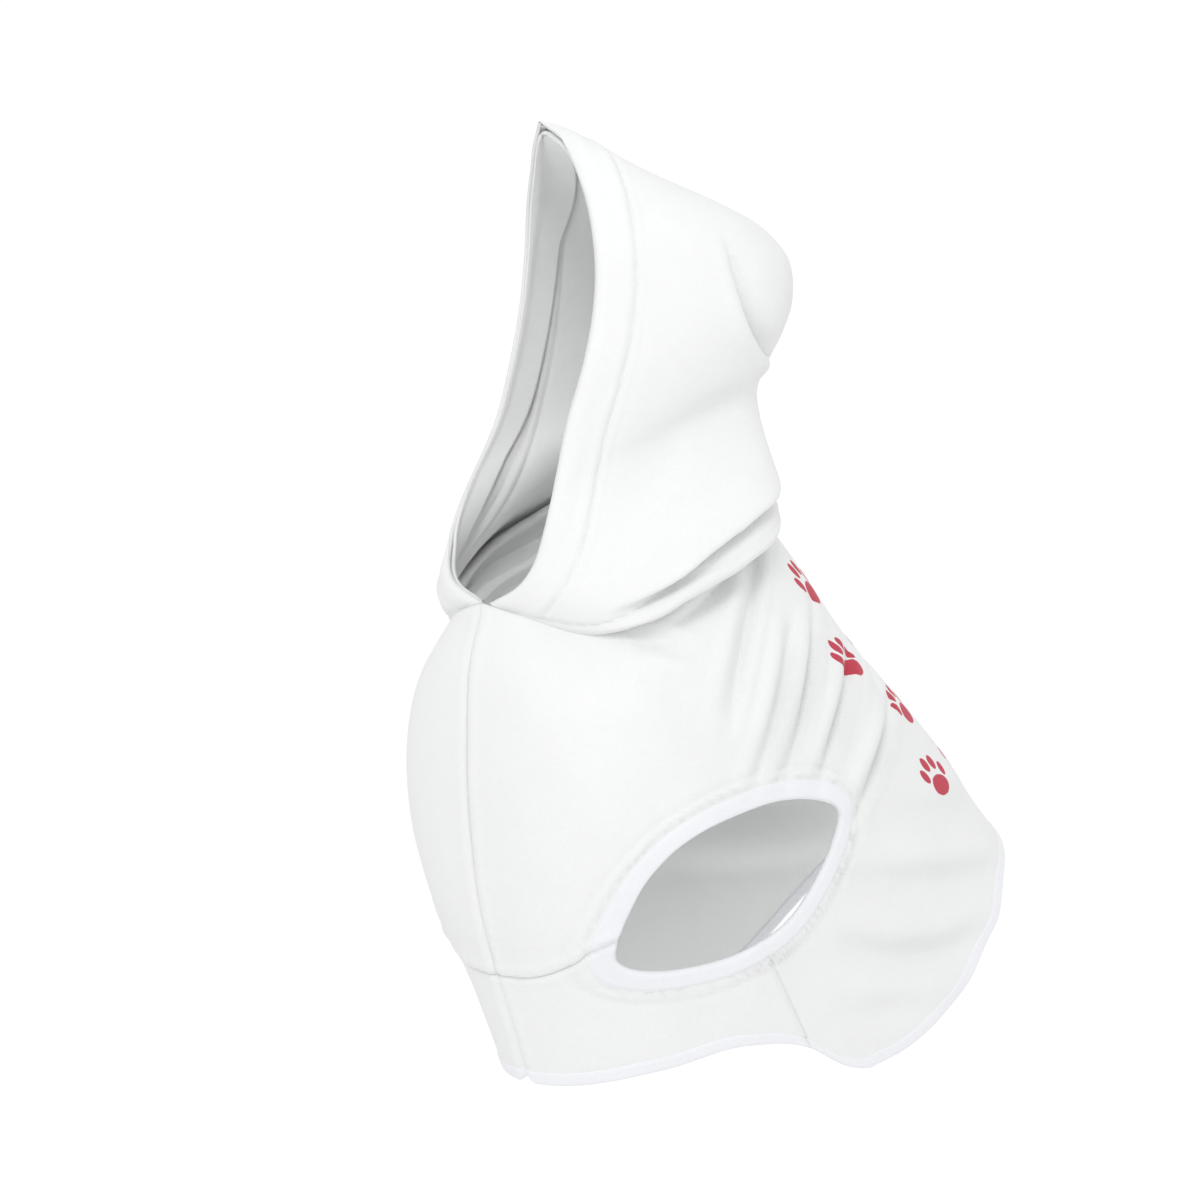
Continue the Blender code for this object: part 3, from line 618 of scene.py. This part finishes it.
# %% Sums in a shader and the three materials
class Wire:
    """The output of a node, which adds, multiplies and compares like a number."""

    def __init__(self, tree, socket):
        self.tree = tree
        self.socket = socket

    def make(self, kind, settings, inputs, output=0):
        node = self.tree.nodes.new(kind)
        for key, value in settings.items():
            setattr(node, key, value)
        for key, value in inputs.items():
            if isinstance(value, Wire):
                self.tree.links.new(value.socket, node.inputs[key])
            else:
                node.inputs[key].default_value = value
        return Wire(self.tree, node.outputs[output])

    def sum(self, operation, *values):
        return self.make("ShaderNodeMath", {"operation": operation}, dict(enumerate(values)))

    def __add__(self, other):
        return self.sum("ADD", self, other)

    def __radd__(self, other):
        return self.sum("ADD", other, self)

    def __sub__(self, other):
        return self.sum("SUBTRACT", self, other)

    def __rsub__(self, other):
        return self.sum("SUBTRACT", other, self)

    def __mul__(self, other):
        return self.sum("MULTIPLY", self, other)

    def __rmul__(self, other):
        return self.sum("MULTIPLY", other, self)

    def __truediv__(self, other):
        return self.sum("DIVIDE", self, other)

    def wave(self):
        return self.sum("SINE", self)

    def size(self):
        return self.sum("ABSOLUTE", self)

    def under(self, limit):
        return self.sum("LESS_THAN", self, limit)

    def between(self, low, high):
        limits = {"Value": self, "From Min": low, "From Max": high}
        return self.make("ShaderNodeMapRange", {"interpolation_type": "SMOOTHSTEP"}, limits)

    def into(self, other, share):
        parts = {"Factor": share, 6: self, 7: other}
        return self.make("ShaderNodeMix", {"data_type": "RGBA"}, parts, output=2)


def start_material(name):
    material = bpy.data.materials.new(name)
    material.use_nodes = True
    tree = material.node_tree
    shader = tree.nodes["Principled BSDF"]
    start = Wire(tree, None)
    place = start.make("ShaderNodeTexCoord", {}, {}, output="UV")
    solid = start.make("ShaderNodeTexCoord", {}, {}, output="Object")
    return material, tree, shader, place, solid


def noise(at, scale, detail):
    inputs = {"Vector": at, "Scale": scale, "Detail": detail, "Roughness": 0.6}
    return at.make("ShaderNodeTexNoise", {}, inputs, output=0)


def parts_of(vector):
    split = vector.make("ShaderNodeSeparateXYZ", {}, {0: vector})
    return Wire(split.tree, split.socket.node.outputs[0]), Wire(split.tree, split.socket.node.outputs[1])


def knit(name, light, dark, wale, course, strength, rough, sheen, ink=None):
    material, tree, shader, place, solid = start_material(name)
    u, v = parts_of(place)
    fibre = noise(solid, 1500.0, 3.0)
    clump = noise(solid, 260.0, 3.0)
    broad = noise(solid, 22.0, 2.0)
    loops = (u * (2 * np.pi / wale) + clump * 1.5).wave() * 0.5
    loops = loops + (v * (2 * np.pi / course) + u * (np.pi / wale)).wave() * 0.3
    height = loops + fibre * 1.5 + clump * 1.2
    bump = height.make(
        "ShaderNodeBump", {}, {"Strength": strength, "Distance": 0.00022, "Height": height}
    )
    pale = bump.make("ShaderNodeRGB", {}, {})
    pale.socket.default_value = (*light, 1)
    low = bump.make("ShaderNodeRGB", {}, {})
    low.socket.default_value = (*dark, 1)
    share = (broad * 0.6 + clump * 0.4).between(0.35, 0.65)
    colour = low.into(pale, share)
    gloss = rough + (fibre - 0.5) * 0.10
    if ink is not None:
        mask = ink(u, v, fibre)
        crimson = bump.make("ShaderNodeRGB", {}, {})
        crimson.socket.default_value = (0.46, 0.045, 0.075, 1)
        colour = colour.into(crimson, mask)
        gloss = gloss - mask * 0.12
    tree.links.new(colour.socket, shader.inputs["Base Color"])
    tree.links.new(gloss.socket, shader.inputs["Roughness"])
    tree.links.new(bump.socket, shader.inputs["Normal"])
    shader.inputs["Sheen Weight"].default_value = sheen
    shader.inputs["Sheen Roughness"].default_value = 0.5
    shader.inputs["Specular IOR Level"].default_value = 0.25
    return material


def paw_prints(u, v, fibre):
    """Paw prints in staggered rows over the back, with slightly dry edges."""
    pitch = 43.0
    v = v - 14.0
    row = (v / pitch).sum("FLOOR", v / pitch)
    shift = row.sum("MODULO", row, 2.0) * (pitch / 2)
    x = ((u + shift) / pitch + 100.0)
    x = (x.sum("FRACT", x) - 0.5) * pitch
    y = v / pitch
    y = (y.sum("FRACT", y) - 0.5) * pitch
    centre = (u - x).size()
    x = x.size()
    shape = None
    for cx, cy, rx, ry in ((0.0, 6.0, 8.6, 6.6), (3.9, -8.6, 3.1, 4.8), (10.6, -1.6, 3.0, 4.6)):
        dx = (x - cx) / rx
        dy = (y - cy) / ry
        ring_value = dx * dx + dy * dy
        shape = ring_value if shape is None else shape.sum("MINIMUM", shape, ring_value)
    inside = 1.0 - (shape + (fibre - 0.5) * 0.25).between(0.90, 1.12)
    inside = inside * centre.under(88.0)
    inside = inside * v.under(172.0)
    return inside * (1.0 - v.under(0.5))


fleece = knit("fleece", (0.735, 0.74, 0.74), (0.72, 0.725, 0.725), 0.9, 0.75, 0.22, 0.88, 0.04)
printed = knit("printed_fleece", (0.735, 0.74, 0.74), (0.72, 0.725, 0.725), 0.9, 0.75, 0.22, 0.88,
               0.04, paw_prints)
tape = knit("rib_tape", (0.745, 0.75, 0.775), (0.73, 0.735, 0.76), 1.3, 0.9, 0.25, 0.80, 0.04)
thread = knit("thread", (0.78, 0.785, 0.80), (0.75, 0.755, 0.77), 0.4, 0.4, 0.3, 0.65, 0.0)
print("four materials")

# %% [markdown]
# ## The body
#
# One panel wraps the trunk and is seamed down the chest. Its grid is finer on the side where the
# folds gather. The cells inside each arm hole are left out, and the raw edge ends up under the
# binding, as it does on the real thing.

# %% Cut the body panel and the belly band
def columns_between(start, end, step):
    fine = np.linspace(start, end, 1441)
    points = ring(fine, 0.55)
    length = np.linalg.norm(np.diff(points, axis=0), axis=1)
    count = np.r_[0, np.cumsum(length / step)]
    return np.interp(np.linspace(0, count[-1], int(round(count[-1])) + 1), count, fine)


def share_of(angle, millimetres):
    """The share of the body's length that a width takes near the hem."""
    one = np.linalg.norm(ring(angle, 1.0) - ring(angle, 0.98), axis=-1) / 0.02
    return millimetres / one


left_angles = np.sort(np.append(columns_between(0.0, 180.0, 1.5), SIDE_SEAM_ANGLE))
right_angles = np.sort(np.append(columns_between(180.0, 360.0, 2.6), 360.0 - SIDE_SEAM_ANGLE))
angles = np.r_[left_angles, right_angles[1:]]
off = np.minimum(angles, 360.0 - angles)
middle = read(BELLY_SEAM, 1, off)
last = 1.0 - share_of(angles, TAIL_BINDING_WIDTH * 0.5)
upper = np.linspace(0.0, 1.0, 104)[:, None] * middle
lower = middle + np.linspace(0.0, 1.0, 36)[1:, None] * (last - middle)
shares = np.vstack([upper, lower])
points = body(angles[None, :], shares)
centres = (points[:-1, :-1] + points[1:, 1:]) / 2
keep = from_arm_edge(centres) > -4.0
keep |= np.abs(centres[..., 0]) < BODY_WIDTH * 0.1
under = (off[:-1] + off[1:]) / 2 < SIDE_SEAM_ANGLE
keep[103:, under] = False
body_cloth = panel(
    "body_cloth", points, fleece, keep=keep, zero_column=len(left_angles) - 1, face=printed
)
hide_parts("body_panel")

belly_pieces = []
for side, word in ((1, "left"), (-1, "right")):
    across = columns_between(0.0, SIDE_SEAM_ANGLE + 0.5, 1.8)
    start = read(BELLY_SEAM, 1, across) + 0.0005
    end = 1.0 - share_of(across, BELLY_HEM_WIDTH * 0.5)
    band = body(side * across[None, :], start + np.linspace(0, 1, 36)[:, None] * (end - start))
    middle_of = (band[:-1, :-1] + band[1:, 1:]) / 2
    piece = panel("belly_cloth_" + word, band, fleece, keep=from_arm_edge(middle_of) > -4.0)
    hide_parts("belly_band_" + word)
    belly_pieces.append(piece)
print("body cloth has", len(body_cloth.data.polygons), "cells")

# %% [markdown]
# ## The hood
#
# Two mirrored halves are seamed over the crown. The head looks up and to one side, so the surface
# already carries that turn. The facing is the hem's second layer, sewn inside the opening.

# %% Cut the hood and its facing
hood_pieces = []
ways = np.linspace(0.0, 1.0, 126) ** 0.92
highs = np.linspace(0.0, 0.9995, 190)
for side, word in ((1, "left"), (-1, "right")):
    half = hood_cloth(side)(ways[None, :], highs[:, None])
    piece = panel("hood_cloth_" + word, half, fleece)
    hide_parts("hood_" + word)
    hood_pieces.append(piece)


def facing_grid(side):
    surface = hood(side)
    rows = []
    back = np.linspace(1.0, 0.7, 101)
    crown_run = np.r_[0, np.cumsum(np.linalg.norm(np.diff(surface(0.0, back), axis=0), axis=1))]
    top = np.interp(HOOD_HEM_WIDTH, crown_run, back)
    fine = np.linspace(1.0, 0.0, 201)
    for high in np.linspace(0.012, 0.992, 110):
        run = np.r_[0, np.cumsum(np.linalg.norm(np.diff(surface(fine, high), axis=0), axis=1))]
        way = np.interp(HOOD_HEM_WIDTH, run, fine)
        drift = ease(0.72, 1.0, high)
        s = np.linspace(0.0, 1.0, 12)
        way_line = 1.0 + (way * (1 - drift) - 1.0) * s
        high_line = high + (top - high) * drift * s
        base = surface(way_line, high_line)
        face = outward(surface, np.clip(way_line, 0.012, 0.988), high_line, 0.01, 0.004) * side
        rows.append(base - face * (2.7 + 1.2 * bell(s, 0.12))[:, None])
    return np.array(rows)


facing = panel("hood_facing", np.vstack([facing_grid(1), facing_grid(-1)[::-1]]), fleece, FACING)
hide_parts("hood_hem")
print("each half of the hood has", len(hood_pieces[0].data.polygons), "cells")

# %% [markdown]
# ## Bindings and hems
#
# Every raw edge is wrapped in a strip of tape about nine millimetres wide. Its section is plump at
# the fold and thinner where the stitches hold it.

# %% Sew on the bindings
def plump(count, thick):
    """Heights across a folded strip, from its stitched edge to its folded edge."""
    s = np.linspace(0.0, 1.0, count)
    edge = 1 - np.abs(2 * s - 1) ** 5
    return thick * np.clip(edge, 0, 1) ** 0.5 * (0.86 + 0.14 * s - 0.35 * bell(s - 0.14, 0.06))


def strip_on_body(name, angle, share, thick, closed, material):
    base = body(angle, share)
    face = outward(ring, angle, share, 0.5, 0.004)
    return strip(name, base, face, plump(base.shape[1], thick), material, closed)


WIDTH_STEPS = 17
for side, word in ((1, "left"), (-1, "right")):
    angle_rows = []
    share_rows = []
    for inset in np.linspace(-0.2, ARM_BINDING_WIDTH, WIDTH_STEPS):
        angle, share = onto_tube(arm_outline(inset, 200), side)
        angle_rows.append(angle)
        share_rows.append(share)
    piece = strip_on_body(
        "arm_tape_" + word, np.array(angle_rows).T, np.array(share_rows).T, 1.9, True, tape
    )
    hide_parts("arm_binding_" + word)

across = np.linspace(1.0, 0.0, WIDTH_STEPS)
rear = columns_between(SIDE_SEAM_ANGLE - 0.5, 360.0 - SIDE_SEAM_ANGLE + 0.5, 2.2)
rear_share = 1.0 - share_of(rear, TAIL_BINDING_WIDTH)[:, None] * across
tail = strip_on_body("tail_tape", rear[:, None], rear_share, 1.9, False, tape)
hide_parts("tail_binding")

front = columns_between(-SIDE_SEAM_ANGLE, SIDE_SEAM_ANGLE, 2.0)
front_share = 1.0 - share_of(front, BELLY_HEM_WIDTH)[:, None] * across
front_share = front_share - 0.012 * bell(front, 2.5)[:, None] * (1 - across)
belly = strip_on_body("belly_tape", front[:, None], front_share, 1.9, False, tape)
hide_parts("belly_hem")
print("tape round the arm holes, the rump and the belly")

# %% [markdown]
# ## Stitches
#
# A twin needle leaves two rows beside the hood's hem. The bindings have one row each. The threads
# are real little shapes, because their shadow is what makes a sewn line look sewn.

# %% Lay the stitch rows
def row_on_body(angle, share):
    return body(angle, share), outward(ring, angle, share, 0.5, 0.004)


def hem_row(side, distance):
    """The line on the hood that stays at this distance from the opening."""
    surface = hood_cloth(side)
    smooth = hood(side)
    grid_ways, grid_highs = np.meshgrid(np.linspace(0, 1, 161), np.linspace(0.02, 0.99, 200), indexing="ij")
    flat = smooth(grid_ways, grid_highs)
    value = from_opening(flat) - distance
    found = []
    for axis in (0, 1):
        a = value[:-1] if axis == 0 else value[:, :-1]
        b = value[1:] if axis == 0 else value[:, 1:]
        i, j = np.nonzero((a > 0) != (b > 0))
        s = a[i, j] / (a[i, j] - b[i, j])
        di, dj = (1, 0) if axis == 0 else (0, 1)
        way = grid_ways[i, j] * (1 - s) + grid_ways[i + di, j + dj] * s
        high = grid_highs[i, j] * (1 - s) + grid_highs[i + di, j + dj] * s
        found.append(np.stack([way, high], -1))
    found = np.vstack(found)
    edge = smooth(1.0, np.linspace(0, 1, 600))
    gap = ((smooth(found[:, 0], found[:, 1])[:, None, :] - edge) ** 2).sum(-1)
    order = np.argmin(gap, axis=1)
    bins = np.unique(order // 6)
    line = np.array([found[order // 6 == k].mean(0) for k in bins])
    for _ in range(3):
        line[1:-1] = (line[:-2] + 2 * line[1:-1] + line[2:]) / 4
    path = surface(line[:, 0], line[:, 1])
    face = outward(smooth, np.clip(line[:, 0], 0.012, 0.988), line[:, 1], 0.01, 0.004) * side
    return path, face


hood_rows = [hem_row(side, HOOD_HEM_WIDTH + gap) for side in (1, -1) for gap in (-0.9, 0.9)]
hood_thread = stitches("hood_stitches", hood_rows, thread)
arm_rows = []
for side in (1, -1):
    loop = arm_outline(0.9, 220)
    arm_rows.append(row_on_body(*onto_tube(np.vstack([loop, loop[:1]]), side)))
arm_thread = stitches("arm_stitches", arm_rows, thread, radius=0.20)
tail_row = row_on_body(rear, 1.0 - share_of(rear, TAIL_BINDING_WIDTH + 1.6))
belly_row = row_on_body(front, 1.0 - share_of(front, BELLY_HEM_WIDTH + 1.6))
hem_thread = stitches("hem_stitches", [tail_row, belly_row], thread, radius=0.20)
print("stitches laid on", len(hood_rows) + len(arm_rows) + 2, "rows")

# %% [markdown]
# ## The size of each cut
#
# A sweatshirt fits by its cut, with the cloth hardly stretched. So the flat size of a panel is its
# size on the smooth surface, without the folds: widest girth by longest length.

# %% Say how big each panel was before it was worn
def cut_size(points, keep=None):
    across, down = np.moveaxis(distances(points)[-1:], -1, 0)[0], distances(points)[-1, :, 1]
    width = float(distances(points)[..., 0].max())
    length = float(down.max())
    a = points[1:, 1:] - points[:-1, :-1]
    b = points[1:, :-1] - points[:-1, 1:]
    cells = np.linalg.norm(np.cross(a, b), axis=-1) / 2
    area = float(cells.sum() if keep is None else cells[keep].sum())
    return (width * MM, length * MM), min(area * MM * MM, width * length * MM * MM)


flat, area = cut_size(ring(angles[None, :], shares), keep)
print("body", flat, area)
for piece, side in zip(belly_pieces, (1, -1)):
    across = columns_between(0.0, SIDE_SEAM_ANGLE + 0.5, 1.8)
    start = read(BELLY_SEAM, 1, across)
    smooth = ring(side * across[None, :], start + np.linspace(0, 1, 36)[:, None] * (0.985 - start))
    cells = from_arm_edge((smooth[:-1, :-1] + smooth[1:, 1:]) / 2) > -4.0
    flat, area = cut_size(smooth, cells)
    print("belly", flat, area)
for piece, side in zip(hood_pieces, (1, -1)):
    flat, area = cut_size(hood(side)(ways[None, :], highs[:, None]))
    print("hood", flat, area)
flat, area = cut_size(np.vstack([facing_grid(1), facing_grid(-1)[::-1]]))
print("facing", flat, area)

# %% [markdown]
# ## Room, light and camera
#
# White cloth on white needs a bright, even room and one larger light from the side of the face.
# Then only the folds turn grey. The camera stands low and well back, like a portrait lens.

# %% Set the floor, the lights and the camera
def plain_material(name, colour, rough):
    material, tree, shader, place, solid = start_material(name)
    grain = noise(solid, 6.0, 2.0)
    pale = grain.make("ShaderNodeRGB", {}, {})
    pale.socket.default_value = (*colour, 1)
    soft = grain.make("ShaderNodeRGB", {}, {})
    soft.socket.default_value = (*[0.995 * c for c in colour], 1)
    tree.links.new(pale.into(soft, grain).socket, shader.inputs["Base Color"])
    shader.inputs["Roughness"].default_value = rough
    return material


def flat_square(name, half, height, material):
    mesh = bpy.data.meshes.new(name)
    corners = [(-half, -half, height), (half, -half, height), (half, half, height), (-half, half, height)]
    mesh.from_pydata(corners, [], [(0, 1, 2, 3)])
    mesh.materials.append(material)
    thing = bpy.data.objects.new(name, mesh)
    bpy.context.scene.collection.objects.link(thing)
    return thing


flat_square("floor", 30.0, -0.42, plain_material("floor_paper", (0.99, 0.99, 0.99), 0.9))

azimuth = np.radians(50.0)
elevation = np.radians(3.0)
back = Vector((np.sin(azimuth) * np.cos(elevation), -np.cos(azimuth) * np.cos(elevation), np.sin(elevation)))
right = Vector((np.cos(azimuth), np.sin(azimuth), 0.0))
up = back.cross(right)
target = right * (-13 / 2100) + up * (-46 / 2100)
camera_data = bpy.data.cameras.new("portrait")
camera_data.lens = 100.8
camera_data.sensor_width = 36.0
camera = bpy.data.objects.new("portrait", camera_data)
bpy.context.scene.collection.objects.link(camera)
camera.location = target + back * 1.6
camera.rotation_euler = Matrix((right, up, back)).transposed().to_euler()
bpy.context.scene.camera = camera


def soft_light(name, sideways, high, forward, size, power):
    data = bpy.data.lights.new(name, "AREA")
    data.shape = "SQUARE"
    data.size = size
    data.energy = power
    lamp = bpy.data.objects.new(name, data)
    bpy.context.scene.collection.objects.link(lamp)
    lamp.location = right * sideways + Vector((0, 0, high)) + back * forward
    lamp.rotation_euler = (lamp.location - Vector((0, 0, 0))).to_track_quat("Z", "Y").to_euler()
    return lamp


soft_light("key", -0.12, 1.05, 1.35, 0.6, 8.8)
world = bpy.data.worlds.new("white_room")
world.use_nodes = True
world.node_tree.nodes["Background"].inputs["Color"].default_value = (1.0, 1.0, 1.0, 1.0)
world.node_tree.nodes["Background"].inputs["Strength"].default_value = 1.03
bpy.context.scene.world = world
bpy.context.scene.view_settings.view_transform = "Standard"
print("camera at", tuple(round(x, 3) for x in camera.location))
